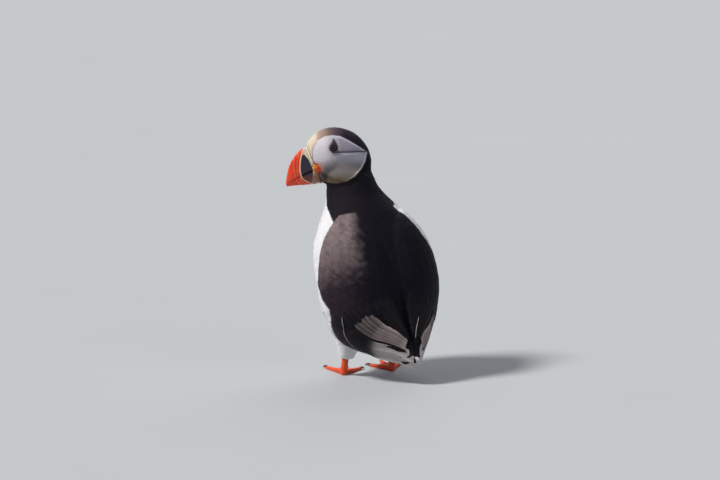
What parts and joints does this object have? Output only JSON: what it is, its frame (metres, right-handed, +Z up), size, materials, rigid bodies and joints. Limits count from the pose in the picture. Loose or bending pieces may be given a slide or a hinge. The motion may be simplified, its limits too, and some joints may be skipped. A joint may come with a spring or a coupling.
{
  "type": "standing atlantic puffin",
  "caption": "Life-size adult Atlantic puffin in summer plumage, standing upright on webbed feet with wings folded and head turned to its left.",
  "frame": {"origin": "middle of the bounding box's underside, on the floor the bird stands on", "axes": "+Z up, the breast faces -Y, the bird's left side is +X"},
  "size_m": [0.1318, 0.1534, 0.2461],
  "materials": {
    "white_plumage": "short flat white body feathers",
    "black_plumage": "black contour feathers with a faint blue and brown gloss",
    "flight_feather": "smooth brown-black quill feathers",
    "bill_horn": "grooved red, cream and slate horn",
    "cere_skin": "pale yellow fleshy rim",
    "rosette_skin": "wrinkled yellow-orange skin",
    "eye_plate_horn": "slate-grey horn",
    "eye": "wet, dark brown iris and black pupil",
    "foot_skin": "scaly orange-red skin",
    "claw_horn": "dark polished horn"
  },
  "bodies": {
    "root": {"head": "white_plumage", "neck": "black_plumage", "trunk": "white_plumage", "tail": "flight_feather", "wing_left": "black_plumage", "wing_right": "black_plumage", "primaries_left": "flight_feather", "primaries_right": "flight_feather", "shank_left": "white_plumage", "shank_right": "white_plumage", "tarsus_left": "foot_skin", "tarsus_right": "foot_skin", "foot_left": "foot_skin", "foot_right": "foot_skin", "bill_upper": "bill_horn", "bill_lower": "bill_horn", "cere": "cere_skin", "rosette_left": "rosette_skin", "rosette_right": "rosette_skin", "eye_left": "eye", "eye_right": "eye", "eye_plate_upper_left": "eye_plate_horn", "eye_plate_lower_left": "eye_plate_horn", "claw_left_inner": "claw_horn", "claw_left_middle": "claw_horn", "claw_left_outer": "claw_horn", "eye_plate_upper_right": "eye_plate_horn", "eye_plate_lower_right": "eye_plate_horn", "claw_right_inner": "claw_horn", "claw_right_middle": "claw_horn", "claw_right_outer": "claw_horn"}
  },
  "joints": []
}
